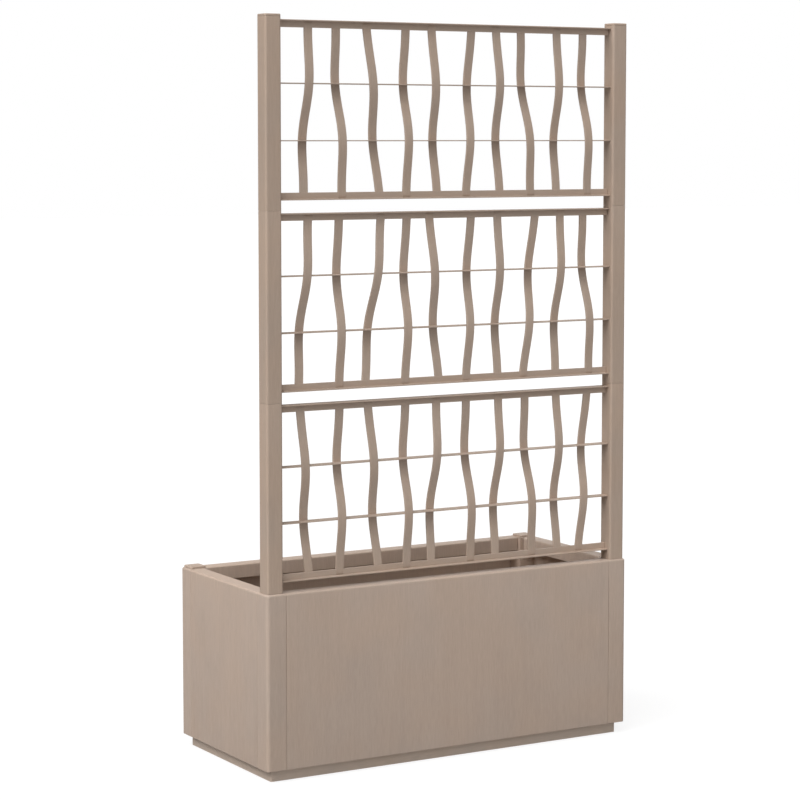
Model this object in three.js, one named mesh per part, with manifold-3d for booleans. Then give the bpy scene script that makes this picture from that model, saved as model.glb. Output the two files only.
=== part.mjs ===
// Planter with trellis.
// A rectangular planter is put together from four corner posts and four wall panels on a base tray.
// Two uprights, each of three stacked sections, stand in the sockets of the front corner posts and
// hold three lattice panels. Caps close the two back sockets and the tops of the uprights.
//
// Millimetres, +Z up. The origin is on the floor at the centre of the planter.
// +X runs along the planter, and -Y is the side where the trellis stands.

import * as THREE from 'three';
import { mergeVertices } from 'three/addons/utils/BufferGeometryUtils.js';
import Module from 'manifold-3d';

const wasm = await Module();
wasm.setup();

// ---------------------------------------------------------------- driving sizes

// Planter body
const bodyLength = 800; // outside, along X
const bodyDepth = 360; // outside, along Y
const rimHeight = 350; // ground to the top of the rim
const edgeRadius = 4; // rounding of the outer top edge

// Base tray
const plinthHeight = 22; // ground to the underside of the walls
const plinthInset = 14; // plinth face behind the wall faces
const plinthCornerRadius = 3;
const plinthWall = 4;
const trayFloor = 4; // thickness of the floor plate
const trayRib = 3; // thickness of the ribs under the floor plate
const crossRibCount = 5;
const floorRise = 5; // raised floor that locates the walls and corner posts, above their ledge
const drainDiameter = 12;
const drainRowSpacing = 160; // between the two rows of drain holes

// Corner posts
const cornerPost = 40; // side of the square post
const cornerRadius = 7; // outer vertical edge
const socketBore = 26; // side of the square bore
const socketRadius = 2;

// Wall panels
const wallSkin = 4;
const rimWidth = 32; // outer face to the inner face of the rim
const rimThickness = 4;
const rimInnerRadius = 3;
const skirtDrop = 27; // rim top to the lower edge of the inner skirt
const skirtThickness = 3;
const footReach = 23; // outer face to the inner edge of the foot flange
const footThickness = 4;
const endRib = 3; // plate that closes each end of a wall
const tongueThickness = 4;
const tongueLength = 5;
const tongueInset = 11; // outer face to the middle of the tongue
const tongueBottomGap = 10; // below the tongue, above the wall's lower edge
const tongueTopGap = 14; // above the tongue, below the rim

// Uprights of the trellis
const uprightSide = 33;
const uprightRadius = 4.5; // vertical edges
const sectionPitch = 349; // height that each section adds
const sectionsPerUpright = 3;
const spigotLength = 60;
const spigotWall = 2.2;

// Caps
const capThickness = 4;
const capEdgeRadius = 1.5;
const plugDepth = 20;
const plugWall = 2;
const plugHollowRise = 1; // how far the plug's hollow rises into the plate
const notchHeadroom = 2; // above the rail peg that the plug's notch clears

// Lattice panels
const panelFoot = 18.4; // section shoulder to the underside of the panel
const panelHead = 5.2; // panel top to the top of its section
const panelSetback = 2; // middle of the panel behind the middle of the uprights
const railHeight = 13.7;
const flangeDepth = 22; // rail flanges and fins, along Y
const flangeThickness = 2.2;
const webThickness = 4;
const railFillet = 1; // hollow rounding between a flange and its web
const finThickness = 2;
const finShares = [0.351, 0.669]; // panel top to the middle of each fin, as shares of the panel's height
const slatWidth = 17;
const slatThickness = 4;
const slatEndMargin = 52; // end of the rail to the middle of the outer slats
const slatSteps = 14;
const swayMain = 9.1; // first and second waves of a slat's sway in front of and behind the fins
const swaySecond = 3.4;
const lateShift = 0.016; // how much lower a late slat changes sides, as a share of the panel's height
const lateSize = 0.93; // sway of a late slat against the others
const pegHeight = 8;
const pegThickness = 4;
const pegLength = 8;

// Where each slat stands off its even place, at the top rail and at the bottom rail
const slatOffsets = {
  lower: [
    [-8, 10.5], [6.5, 5], [-3.5, 20.5], [9.5, 11.5], [8, -3.5],
    [5, 15.5], [8.5, 3], [0, 17.5], [3, 8.5], [8.5, -11.5]],
  middle: [
    [10.5, -10], [6, 5.5], [26, -8.5], [12.5, 8.5], [-9, 14],
    [16, 4.5], [5, 7.5], [23.5, -5], [11, 2], [-5, 11.5]],
  upper: [
    [11.5, 1.5], [0, 12], [-6, 23.5], [10, 11], [-4, 9.5],
    [16, 3.5], [0.5, 11], [-12.5, 11.5], [0.5, 2], [-7.5, 5]],
};

// The slats that change sides a little lower, by their place from the left
const lateSlats = { lower: [0, 2, 9], middle: [1, 3, 4, 5, 6, 7, 8], upper: [2, 4, 5, 8] };

// Clearances
const seamGap = 0.3; // between pieces that touch
const wallSeam = 0.6; // between the end of a wall and a corner post
const slideGap = 0.3; // round a spigot, plug or tongue, on each side
const cutPast = 1; // how far a cutting body reaches past the faces that it cuts

// ---------------------------------------------------------------- worked-out sizes

const ledge = plinthHeight - seamGap; // where the walls and corner posts stand on the tray
const socketCentre = cornerPost / 2; // from both outer faces of the body
const uprightX = bodyLength / 2 - socketCentre;
const trellisY = -bodyDepth / 2 + socketCentre;
const spigotSide = socketBore - 2 * slideGap;
const railHalfLength = uprightX - uprightSide / 2 - seamGap;
const panelHeight = sectionPitch - panelFoot - panelHead;
const pegMiddle = railHeight / 2; // from the outer edge of a rail to the middle of its peg

// ---------------------------------------------------------------- helpers

function toSolid(geometry) {
  const bare = geometry.clone();
  bare.deleteAttribute('normal');
  bare.deleteAttribute('uv');
  const merged = mergeVertices(bare, 1e-4);
  return new wasm.Manifold(new wasm.Mesh({
    numProp: 3,
    vertProperties: new Float32Array(merged.attributes.position.array),
    triVerts: new Uint32Array(merged.index.array),
  }));
}

function toGeometry(solid) {
  const mesh = solid.getMesh();
  const geometry = new THREE.BufferGeometry();
  geometry.setAttribute('position', new THREE.BufferAttribute(new Float32Array(mesh.vertProperties), 3));
  geometry.setIndex(new THREE.BufferAttribute(new Uint32Array(mesh.triVerts), 1));
  return geometry;
}

// A block between two corners
function block(x0, x1, y0, y1, z0, z1) {
  const geometry = new THREE.BoxGeometry(x1 - x0, y1 - y0, z1 - z0);
  geometry.translate((x0 + x1) / 2, (y0 + y1) / 2, (z0 + z1) / 2);
  return toSolid(geometry);
}

// An outline in X and Y, raised from z0 to z1
function prism(outline, z0, z1, curveSegments = 5) {
  const geometry = new THREE.ExtrudeGeometry(outline, { depth: z1 - z0, bevelEnabled: false, curveSegments });
  geometry.translate(0, 0, z0);
  return toSolid(geometry);
}

// A profile in Y and Z, drawn out from x0 to x1
function bar(profile, x0, x1, curveSegments = 5) {
  const geometry = new THREE.ExtrudeGeometry(profile, { depth: x1 - x0, bevelEnabled: false, curveSegments });
  geometry.translate(0, 0, x0);
  const turn = new THREE.Matrix4().makeBasis(
    new THREE.Vector3(0, 1, 0), new THREE.Vector3(0, 0, 1), new THREE.Vector3(1, 0, 0));
  geometry.applyMatrix4(turn);
  return toSolid(geometry);
}

// A closed body through outlines of equal point counts, each at its own height, from the lowest up
function loft(outlines, heights, curveSegments = 5) {
  const rings = outlines.map((outline) => {
    const points = outline.extractPoints(curveSegments).shape;
    return points.filter((point, i) => point.distanceTo(points.at(i - 1)) > 1e-6);
  });
  const count = rings[0].length;
  const positions = rings.flatMap((ring, level) => ring.flatMap((p) => [p.x, p.y, heights[level]]));
  const index = [];
  for (let level = 0; level < rings.length - 1; level++) {
    for (let i = 0; i < count; i++) {
      const a = level * count + i;
      const b = level * count + (i + 1) % count;
      index.push(a, b, b + count, a, b + count, a + count);
    }
  }
  const last = (rings.length - 1) * count;
  for (const [a, b, c] of THREE.ShapeUtils.triangulateShape(rings[0], [])) index.push(a, c, b);
  for (const [a, b, c] of THREE.ShapeUtils.triangulateShape(rings[rings.length - 1], [])) {
    index.push(last + a, last + b, last + c);
  }
  const geometry = new THREE.BufferGeometry();
  geometry.setAttribute('position', new THREE.Float32BufferAttribute(positions, 3));
  geometry.setIndex(index);
  return toSolid(geometry);
}

function roundedRectangle(width, depth, radius) {
  const w = width / 2;
  const d = depth / 2;
  const outline = new THREE.Shape();
  outline.moveTo(w, -d + radius);
  outline.lineTo(w, d - radius);
  outline.absarc(w - radius, d - radius, radius, 0, Math.PI / 2);
  outline.absarc(-w + radius, d - radius, radius, Math.PI / 2, Math.PI);
  outline.absarc(-w + radius, -d + radius, radius, Math.PI, Math.PI * 1.5);
  outline.absarc(w - radius, -d + radius, radius, Math.PI * 1.5, Math.PI * 2);
  return outline;
}

function roundedSquare(side, radius) {
  return roundedRectangle(side, side, radius);
}

// Insets and heights of a top edge rounded to a radius, from where the rounding starts to the top
function roundedEdge(radius, top, steps = 4) {
  return Array.from({ length: steps + 1 }, (unused, step) => {
    const angle = (step / steps) * (Math.PI / 2);
    return { inset: radius * (1 - Math.cos(angle)), height: top - radius + radius * Math.sin(angle) };
  });
}

// ---------------------------------------------------------------- base tray

// Plinth with a ledge for the walls and corner posts, a raised floor inside them, ribs and drain holes
function baseTray() {
  const length = bodyLength - 2 * plinthInset;
  const depth = bodyDepth - 2 * plinthInset;
  const raisedTop = ledge + floorRise;
  let tray = prism(roundedRectangle(length, depth, plinthCornerRadius), 0, ledge);

  // The raised floor fills the inside of the walls and steps back round the corner posts
  const insideWallsX = bodyLength / 2 - footReach - slideGap;
  const insideWallsY = bodyDepth / 2 - footReach - slideGap;
  const insidePostsX = bodyLength / 2 - cornerPost - seamGap;
  const insidePostsY = bodyDepth / 2 - cornerPost - seamGap;
  for (const [x, y] of [[insidePostsX, insideWallsY], [insideWallsX, insidePostsY]]) {
    tray = tray.add(block(-x, x, -y, y, 0, raisedTop));
  }
  tray = tray.subtract(block(
    -length / 2 + plinthWall, length / 2 - plinthWall,
    -depth / 2 + plinthWall, depth / 2 - plinthWall, -cutPast, ledge - trayFloor));
  tray = tray.subtract(block(
    -insidePostsX + trayFloor, insidePostsX - trayFloor,
    -insidePostsY + trayFloor, insidePostsY - trayFloor, -cutPast, raisedTop - trayFloor));

  const ribTop = raisedTop - trayFloor / 2;
  const ribReachX = insidePostsX - trayFloor / 2;
  const ribReachY = insidePostsY - trayFloor / 2;
  tray = tray.add(block(-ribReachX, ribReachX, -trayRib / 2, trayRib / 2, 0, ribTop));
  const bay = 2 * insidePostsX / (crossRibCount + 1);
  for (let rib = 0; rib < crossRibCount; rib++) {
    const x = (rib - (crossRibCount - 1) / 2) * bay;
    tray = tray.add(block(x - trayRib / 2, x + trayRib / 2, -ribReachY, ribReachY, 0, ribTop));
  }

  for (let column = 0; column <= crossRibCount; column++) {
    const x = (column - crossRibCount / 2) * bay;
    for (const side of [-1, 1]) {
      const y = side * drainRowSpacing / 2;
      const drain = new THREE.Shape().absarc(x, y, drainDiameter / 2, 0, Math.PI * 2);
      tray = tray.subtract(prism(drain, 0, raisedTop + cutPast, 6));
    }
  }
  return toGeometry(tray);
}

// ---------------------------------------------------------------- corner posts

// Local frame: the outer vertical edge is at the origin, and the post fills +X and +Y
function cornerOutline(inset) {
  const outline = new THREE.Shape();
  outline.moveTo(cornerPost, inset);
  outline.lineTo(cornerPost, cornerPost);
  outline.lineTo(inset, cornerPost);
  outline.lineTo(inset, cornerRadius);
  outline.absarc(cornerRadius, cornerRadius, cornerRadius - inset, Math.PI, Math.PI * 1.5);
  return outline;
}

function cornerPostBody() {
  const edge = roundedEdge(edgeRadius, rimHeight);
  const outlines = [cornerOutline(0), ...edge.map((step) => cornerOutline(step.inset))];
  const heights = [plinthHeight, ...edge.map((step) => step.height)];
  let post = loft(outlines, heights, 5);

  const foot = plinthHeight - cutPast;
  const bore = prism(roundedSquare(socketBore, socketRadius), foot, rimHeight + cutPast, 2);
  post = post.subtract(bore.translate(socketCentre, socketCentre, 0));

  const grooveFloor = cornerPost - tongueLength - slideGap;
  const grooveHalf = tongueThickness / 2 + slideGap;
  const grooveTop = rimHeight - tongueTopGap + slideGap;
  post = post.subtract(block(
    grooveFloor, cornerPost + cutPast, tongueInset - grooveHalf, tongueInset + grooveHalf,
    foot, grooveTop));
  post = post.subtract(block(
    tongueInset - grooveHalf, tongueInset + grooveHalf, grooveFloor, cornerPost + cutPast,
    foot, grooveTop));
  return toGeometry(post);
}

// ---------------------------------------------------------------- wall panels

// Local frame: the outer face is at y = 0, the wall fills +Y and is centred on x = 0.
// The profile is an outer skin, a rounded rim with a skirt hanging from it, and a foot flange.
function wallProfile() {
  const skirtBottom = rimHeight - skirtDrop;
  const underRim = rimHeight - rimThickness;
  const profile = new THREE.Shape();
  profile.moveTo(0, plinthHeight);
  profile.lineTo(footReach, plinthHeight);
  profile.lineTo(footReach, plinthHeight + footThickness);
  profile.lineTo(wallSkin, plinthHeight + footThickness);
  profile.lineTo(wallSkin, underRim);
  profile.lineTo(rimWidth - skirtThickness, underRim);
  profile.lineTo(rimWidth - skirtThickness, skirtBottom);
  profile.lineTo(rimWidth, skirtBottom);
  profile.absarc(rimWidth - rimInnerRadius, rimHeight - rimInnerRadius, rimInnerRadius, 0, Math.PI / 2);
  profile.absarc(edgeRadius, rimHeight - edgeRadius, edgeRadius, Math.PI / 2, Math.PI);
  return profile;
}

function wallPanel(length) {
  const half = length / 2;
  const tongueBottom = plinthHeight + tongueBottomGap;
  const tongueTop = rimHeight - tongueTopGap;
  let wall = bar(wallProfile(), -half, half, 4);
  for (const side of [-1, 1]) {
    const rib = [side * half, side * (half - endRib)];
    const [x0, x1] = [Math.min(...rib), Math.max(...rib)];
    wall = wall.add(block(
      x0, x1, wallSkin / 2, footReach, plinthHeight + footThickness / 2, rimHeight - rimThickness / 2));
    const tongue = [side * (half - endRib / 2), side * (half + wallSeam + tongueLength)];
    wall = wall.add(block(
      Math.min(...tongue), Math.max(...tongue),
      tongueInset - tongueThickness / 2, tongueInset + tongueThickness / 2, tongueBottom, tongueTop));
  }
  return toGeometry(wall);
}

// ---------------------------------------------------------------- uprights

// Local frame: the axis of the upright is at x = y = 0, the shoulder of the section at z = 0, and the
// lattice side faces +X. A spigot below the shoulder enters the piece underneath. The peg of the top
// rail below passes through the wall of that piece and through this spigot, and pins them together.
function uprightSection(pegY) {
  const height = sectionPitch - seamGap;
  const pegHoleHalfZ = pegHeight / 2 + slideGap;
  const pegHoleHalfY = pegThickness / 2 + slideGap;
  let section = prism(roundedSquare(uprightSide, uprightRadius), 0, height, 4);
  const bore = roundedSquare(socketBore, socketRadius);
  section = section.subtract(prism(bore, spigotWall, height + cutPast, 2));
  section = section.add(prism(roundedSquare(spigotSide, socketRadius), -spigotLength, spigotWall, 2));
  const hollow = roundedSquare(spigotSide - 2 * spigotWall, socketRadius / 2);
  section = section.subtract(prism(hollow, -spigotLength - cutPast, spigotWall + cutPast, 2));

  const pegLevels = [
    panelFoot + pegMiddle, // bottom rail of the panel at this section
    sectionPitch - panelHead - pegMiddle, // its top rail
    -panelHead - pegMiddle, // top rail of the panel below
  ];
  for (const level of pegLevels) {
    section = section.subtract(block(
      spigotSide / 2 - spigotWall - cutPast, uprightSide / 2 + cutPast,
      pegY - pegHoleHalfY, pegY + pegHoleHalfY, level - pegHoleHalfZ, level + pegHoleHalfZ));
  }
  return toGeometry(section);
}

// ---------------------------------------------------------------- caps

// Local frame: the underside of the cap's plate is at z = 0 and the plug hangs below it
function socketCap() {
  const edge = roundedEdge(capEdgeRadius, capThickness, 2);
  const outlines = [0, ...edge.map((step) => step.inset)].map(
    (inset) => roundedSquare(uprightSide - 2 * inset, uprightRadius - inset));
  let cap = loft(outlines, [0, ...edge.map((step) => step.height)], 4);
  const plugSide = spigotSide;
  cap = cap.add(prism(roundedSquare(plugSide, socketRadius), -plugDepth, capThickness / 2, 2));
  const hollow = roundedSquare(plugSide - 2 * plugWall, socketRadius / 2);
  cap = cap.subtract(prism(hollow, -plugDepth - cutPast, plugHollowRise, 2));
  const notchHalf = panelSetback + pegThickness / 2 + 2 * slideGap;
  const notchTop = -panelHead - pegMiddle + pegHeight / 2 + notchHeadroom;
  cap = cap.subtract(block(
    -plugSide, plugSide, -notchHalf, notchHalf, -plugDepth - cutPast, notchTop));
  return toGeometry(cap);
}

// ---------------------------------------------------------------- lattice panels

// How far a slat stands in front of the middle of the panel, at a share of the height from the top
function sway(share, isLate) {
  const at = isLate ? share - lateShift * Math.sin(Math.PI * share) : share;
  const wave = swayMain * Math.sin(2 * Math.PI * at) - swaySecond * Math.sin(4 * Math.PI * at);
  return isLate ? lateSize * wave : wave;
}

// One slat, upright: a strip that passes in front of one fin and behind the other
function slatSolid(direction, isLate) {
  const inRail = flangeThickness / 2;
  const front = [];
  const back = [];
  for (let step = 0; step <= slatSteps; step++) {
    const share = step / slatSteps;
    const z = panelHeight - inRail - share * (panelHeight - 2 * inRail);
    const y = -direction * sway(share, isLate);
    front.push(new THREE.Vector2(y - slatThickness / 2, z));
    back.push(new THREE.Vector2(y + slatThickness / 2, z));
  }
  return bar(new THREE.Shape([...front, ...back.reverse()]), -slatWidth / 2, slatWidth / 2);
}

// A rail's profile in Y and Z: a flange whose outer face is at the given height, and a web that
// reaches inward from it by a hollow rounding on either side. inward is 1 upwards and -1 downwards.
function railProfile(outer, inward) {
  const halfFlange = flangeDepth / 2;
  const halfWeb = webThickness / 2;
  const inner = outer + inward * flangeThickness;
  const tip = outer + inward * railHeight;
  const profile = new THREE.Shape();
  profile.moveTo(-halfFlange, outer);
  profile.lineTo(halfFlange, outer);
  profile.lineTo(halfFlange, inner);
  profile.lineTo(halfWeb + railFillet, inner);
  profile.quadraticCurveTo(halfWeb, inner, halfWeb, inner + inward * railFillet);
  profile.lineTo(halfWeb, tip);
  profile.lineTo(-halfWeb, tip);
  profile.lineTo(-halfWeb, inner + inward * railFillet);
  profile.quadraticCurveTo(-halfWeb, inner, -halfWeb - railFillet, inner);
  profile.lineTo(-halfFlange, inner);
  return profile;
}

// Local frame: the middle of the bottom rail's lower edge is at the origin
function latticePanel(offsets, late) {
  const top = panelHeight;
  const halfFlange = flangeDepth / 2;
  const fins = finShares.map((share) => {
    const middle = top * (1 - share);
    return block(
      -railHalfLength, railHalfLength, -halfFlange, halfFlange,
      middle - finThickness / 2, middle + finThickness / 2);
  });
  let panel = bar(railProfile(0, 1), -railHalfLength, railHalfLength, 4)
    .add(bar(railProfile(top, -1), -railHalfLength, railHalfLength, 4));
  for (const fin of fins) panel = panel.add(fin);

  const pegReach = railHalfLength + pegLength;
  for (const level of [pegMiddle, top - pegMiddle]) {
    panel = panel.add(block(
      -pegReach, pegReach, -pegThickness / 2, pegThickness / 2,
      level - pegHeight / 2, level + pegHeight / 2));
  }

  const slatPitch = (2 * railHalfLength - 2 * slatEndMargin) / (offsets.length - 1);
  offsets.forEach(([atTop, atBottom], slat) => {
    const even = (slat - (offsets.length - 1) / 2) * slatPitch;
    const lean = (atTop - atBottom) / panelHeight;
    const shear = new THREE.Matrix4().set(
      1, 0, lean, even + atBottom,
      0, 1, 0, 0,
      0, 0, 1, 0,
      0, 0, 0, 1);
    const direction = slat % 2 === 0 ? 1 : -1;
    panel = panel.add(slatSolid(direction, late.includes(slat)).transform(shear.elements));
  });
  return toGeometry(panel);
}

// ---------------------------------------------------------------- assembly

const colours = {
  wall: 0xa89484,
  post: 0xa38f7f,
  lattice: 0xa08c7b,
  base: 0x96836f,
};

function plastic(colour) {
  return new THREE.MeshStandardMaterial({ color: colour, roughness: 0.55, metalness: 0 });
}

const planter = new THREE.Group();

function place(parent, name, geometry, colour, position, turn = 0) {
  const mesh = new THREE.Mesh(geometry, plastic(colour));
  mesh.name = name;
  mesh.position.set(...position);
  mesh.rotation.z = turn;
  parent.add(mesh);
}

place(planter, 'base_tray', baseTray(), colours.base, [0, 0, 0]);

const corners = [
  ['front_left', -1, -1, 0],
  ['front_right', 1, -1, Math.PI / 2],
  ['back_right', 1, 1, Math.PI],
  ['back_left', -1, 1, -Math.PI / 2],
];
const postGeometry = cornerPostBody();
for (const [corner, sx, sy, turn] of corners) {
  const position = [sx * bodyLength / 2, sy * bodyDepth / 2, 0];
  place(planter, `corner_post_${corner}`, postGeometry, colours.wall, position, turn);
}

const longWall = wallPanel(bodyLength - 2 * (cornerPost + wallSeam));
const shortWall = wallPanel(bodyDepth - 2 * (cornerPost + wallSeam));
place(planter, 'front_wall', longWall, colours.wall, [0, -bodyDepth / 2, 0]);
place(planter, 'back_wall', longWall, colours.wall, [0, bodyDepth / 2, 0], Math.PI);
place(planter, 'left_wall', shortWall, colours.wall, [-bodyLength / 2, 0, 0], -Math.PI / 2);
place(planter, 'right_wall', shortWall, colours.wall, [bodyLength / 2, 0, 0], Math.PI / 2);

const capGeometry = socketCap();
const capSeat = rimHeight + seamGap;
for (const [side, sx] of [['left', -1], ['right', 1]]) {
  const position = [sx * uprightX, -trellisY, capSeat];
  place(planter, `corner_cap_back_${side}`, capGeometry, colours.wall, position, sx > 0 ? Math.PI : 0);
}

const trellis = new THREE.Group();
trellis.position.set(0, trellisY, rimHeight + seamGap);
planter.add(trellis);

const levels = ['lower', 'middle', 'upper'];
for (const [side, sx] of [['left', -1], ['right', 1]]) {
  const turn = sx > 0 ? Math.PI : 0;
  const sectionGeometry = uprightSection(-sx * panelSetback);
  for (let level = 0; level < sectionsPerUpright; level++) {
    const name = `upright_${side}_${levels[level] ?? level + 1}`;
    place(trellis, name, sectionGeometry, colours.post, [sx * uprightX, 0, level * sectionPitch], turn);
  }
  const capZ = sectionsPerUpright * sectionPitch;
  place(trellis, `upright_cap_${side}`, capGeometry, colours.post, [sx * uprightX, 0, capZ], turn);
}

levels.slice(0, sectionsPerUpright).forEach((level, row) => {
  const geometry = latticePanel(slatOffsets[level], lateSlats[level]);
  const position = [0, panelSetback, row * sectionPitch + panelFoot];
  place(trellis, `lattice_${level}`, geometry, colours.lattice, position);
});

export default planter;
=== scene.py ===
import math

import bmesh
import bpy
from mathutils import Matrix, Vector


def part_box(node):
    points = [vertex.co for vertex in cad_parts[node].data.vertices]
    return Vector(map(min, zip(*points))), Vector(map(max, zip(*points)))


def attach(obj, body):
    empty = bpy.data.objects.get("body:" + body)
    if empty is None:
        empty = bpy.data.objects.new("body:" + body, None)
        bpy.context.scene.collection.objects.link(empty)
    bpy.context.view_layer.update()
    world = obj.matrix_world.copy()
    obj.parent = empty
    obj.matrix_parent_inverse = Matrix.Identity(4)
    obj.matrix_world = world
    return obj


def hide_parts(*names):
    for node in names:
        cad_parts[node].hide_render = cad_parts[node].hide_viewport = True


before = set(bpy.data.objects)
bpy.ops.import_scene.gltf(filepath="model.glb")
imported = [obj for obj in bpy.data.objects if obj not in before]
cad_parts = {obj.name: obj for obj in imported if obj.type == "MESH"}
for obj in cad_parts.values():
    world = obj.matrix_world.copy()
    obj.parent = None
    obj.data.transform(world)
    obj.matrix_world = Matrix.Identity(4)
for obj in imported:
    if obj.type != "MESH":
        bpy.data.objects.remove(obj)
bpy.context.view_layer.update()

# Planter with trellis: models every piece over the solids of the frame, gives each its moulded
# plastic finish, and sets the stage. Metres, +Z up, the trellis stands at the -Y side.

bl_info = {
    "name": "Planter with Trellis",
    "version": (1, 0, 0),
    "blender": (4, 5, 0),
    "location": "View3D > Sidebar > Planter",
    "description": "Models and finishes a planter with a trellis and sets its stage",
    "category": "Object",
}

LEVELS = ("lower", "middle", "upper")
SIDES = ("left", "right")
CORNERS = ("front_left", "front_right", "back_left", "back_right")

# Lengths that aren't settings, in metres
SEAM = 0.0003  # gap at each end of the rails and fins
WALL_SEAM = 0.0006  # gap at each end of the walls
TONGUE_LENGTH = 0.005
TONGUE_THICKNESS = 0.002
TONGUE_GAPS = (0.005, 0.014)  # below and above a wall's tongue
SPIGOT_LENGTH = 0.06
PLUG_WALL = 0.0016  # wall of the spigots and plugs
CAP_TOP_EDGE = 0.0015
SLAT_EDGE = 0.0013
SLAT_MARGIN = 0.052  # from an upright to the even place of the outermost slat
SMALL_EDGES = {"tray": 0.0006, "wall": 0.0008, "upright": 0.00025, "cap": 0.0002,
               "rails": 0.0005, "fins": 0.0004, "slats": 0}
CLOSE = 1e-5  # points nearer than this to each other are one
ON_PLANE = 1e-6  # points nearer than this to a plane lie on it
TINY = 1e-7  # an edge shorter than this has no direction

# Least cosines between an edge or a face's normal and the axis it follows, and the sharpest bend
# that stays without a small edge
PARALLEL = 0.999
SQUARE_ON = 0.99
SHARP_BEND = math.radians(40)

# Shares of a piece's own height
POST_SOCKET = 0.5  # down from the top of a corner post
POST_HOLLOW = 0.4  # up from its foot
UPRIGHT_SOCKET = 0.9  # down from the top of an upright section
UPRIGHT_HOLLOW = 0.02  # up from its shoulder, above the spigot
CAP_HOLLOW = 0.25  # up into the plate of a cap
FIN_SHARES = (0.351, 0.669)  # down from the top of a panel to each fin

# Where each slat meets the top rail and the bottom rail, off its even place, in millimetres
SLAT_OFFSETS = {
    "lower": ((-8, 10.5), (6.5, 5), (-3.5, 20.5), (9.5, 11.5), (8, -3.5),
              (5, 15.5), (8.5, 3), (0, 17.5), (3, 8.5), (8.5, -11.5)),
    "middle": ((10.5, -10), (6, 5.5), (26, -8.5), (12.5, 8.5), (-9, 14),
               (16, 4.5), (5, 7.5), (23.5, -5), (11, 2), (-5, 11.5)),
    "upper": ((11.5, 1.5), (0, 12), (-6, 23.5), (10, 11), (-4, 9.5),
              (16, 3.5), (0.5, 11), (-12.5, 11.5), (0.5, 2), (-7.5, 5)),
}
# The slats that change sides a little lower, by their place from the left
LATE_SLATS = {"lower": (0, 2, 9), "middle": (1, 3, 4, 5, 6, 7, 8), "upper": (2, 4, 5, 8)}
SLAT_CUTS = 47  # rings of points along a slat

# The finish
FINE = {"grain": 0.35, "clouds": 0.03}  # for the smaller mouldings
GRAIN_TURNS = {"X": (0, 90, 0), "Z": (0, 0, 0)}  # degrees, for a grain along each axis
GRAIN_DEPTH = 0.00025
STREAK_TONES = (-0.12, 0.08)  # how far the grain darkens and lightens
WARMTH = 0.05
PAINTED_HEAD_LIGHT = 1.05  # painted light at the top of the pieces that are painted lighter upwards
# Painted shade at the feet: each kind of piece is painted darker towards its lower end, the left
# wall most
POST_FOOT_SHADE = 0.91
WALL_FOOT_SHADE = 0.94
LEFT_WALL_FOOT_SHADE = 0.88
UPRIGHT_FOOT_SHADE = 0.985
WORN_SHARE, WORN_TONE = 0.22, 1.16
# Dust on the faces that look up, and a pale band near the ground that is painted bounce light from
# the floor
DUST_AND_BOUNCE_SHARE, DUST_AND_BOUNCE_COLOUR = 0.10, (0.55, 0.51, 0.46, 1.0)
ROUGHNESS = (0.62, 0.48)  # beside and on the streaks
WORN_ROUGHNESS, DUST_AND_BOUNCE_ROUGHNESS = -0.10, 0.12  # what wear, and dust with the painted bounce light, add

# The stage
WHITE = (1, 1, 1, 1)
FLOOR_SIZE = 30.0
FLOOR_TONE = 0.17  # of the floor as the camera sees it
LIGHT_DISTANCE = 4.0
# Each light: name, turn from -X towards -Y and rise above the ground, in degrees
LIGHTS = (("left", 0, 45), ("side", 50, 45), ("high", 30, 70), ("front", 90, 15),
          ("back", 215, 20))


# ---------------------------------------------------------------- settings


def number(name, description, default, **limits):
    """A setting that is a plain number, such as a strength or a share."""
    return bpy.props.FloatProperty(name=name, description=description, default=default, **limits)


def length(name, description, default):
    """A setting that is a length, in metres."""
    return number(name, description, default, subtype="DISTANCE")


def angle(name, description, degrees):
    """A setting that is an angle; its default is given in degrees."""
    return number(name, description, math.radians(degrees), subtype="ANGLE")


def tint(name, description, default):
    """A setting that is a colour."""
    return bpy.props.FloatVectorProperty(name=name, description=description, subtype="COLOR",
                                         size=3, min=0, max=1, default=default)


class PlanterSizes(bpy.types.PropertyGroup):
    """Sizes of the planter's own walls and corners"""

    wall_skin: length("Wall skin", "Thickness of the walls", 0.004)
    rim_width: length("Rim width", "Flat top of the walls", 0.032)
    rim_thickness: length("Rim thickness", "Thickness of the rim's plate", 0.004)
    skirt_drop: length("Skirt drop", "Height of the skirt inside the rim", 0.027)
    skirt_thickness: length("Skirt thickness", "Thickness of the skirt", 0.003)
    foot_reach: length("Foot reach", "Depth of the foot flange", 0.023)
    top_edge: length("Top edge radius", "Rounding of the outer top edge", 0.004)
    corner_radius: length("Corner radius", "Rounding of the outer corners", 0.007)
    inner_edge: length("Inner edge radius", "Rounding of the rim's inner edge", 0.003)
    socket: length("Socket", "Side of the square socket in a corner post", 0.026)


class TrellisSizes(bpy.types.PropertyGroup):
    """Sizes of the uprights, rails, fins and slats"""

    upright_radius: length("Upright radius", "Rounding of the uprights' edges", 0.0045)
    upright_wall: length("Upright wall", "Wall of the uprights", 0.0035)
    spigot: length("Spigot", "Side of the spigots and plugs", 0.0254)
    cap_thickness: length("Cap thickness", "Plate of the caps", 0.004)
    rail_height: length("Rail height", "Height of the lattice rails", 0.0137)
    flange_depth: length("Flange depth", "Depth of the rail flanges and fins", 0.022)
    flange_thickness: length("Flange thickness", "Thickness of the rail flanges", 0.0022)
    fillet: length("Rail fillet", "Hollow rounding between a flange and its web", 0.001)
    fin_thickness: length("Fin thickness", "Thickness of the fins", 0.002)
    slat_width: length("Slat width", "Width of a slat", 0.017)
    slat_thickness: length("Slat thickness", "Thickness of a slat", 0.004)
    sway: length("Sway", "Main wave of the slats", 0.0091)
    second_sway: length("Second sway", "Second wave of the slats", 0.0034)
    late_shift: number(
        "Late shift", "How much lower a late slat changes sides, as a share of its height", 0.016)
    late_size: number("Late sway", "Sway of a late slat against the others", 0.93)


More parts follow.
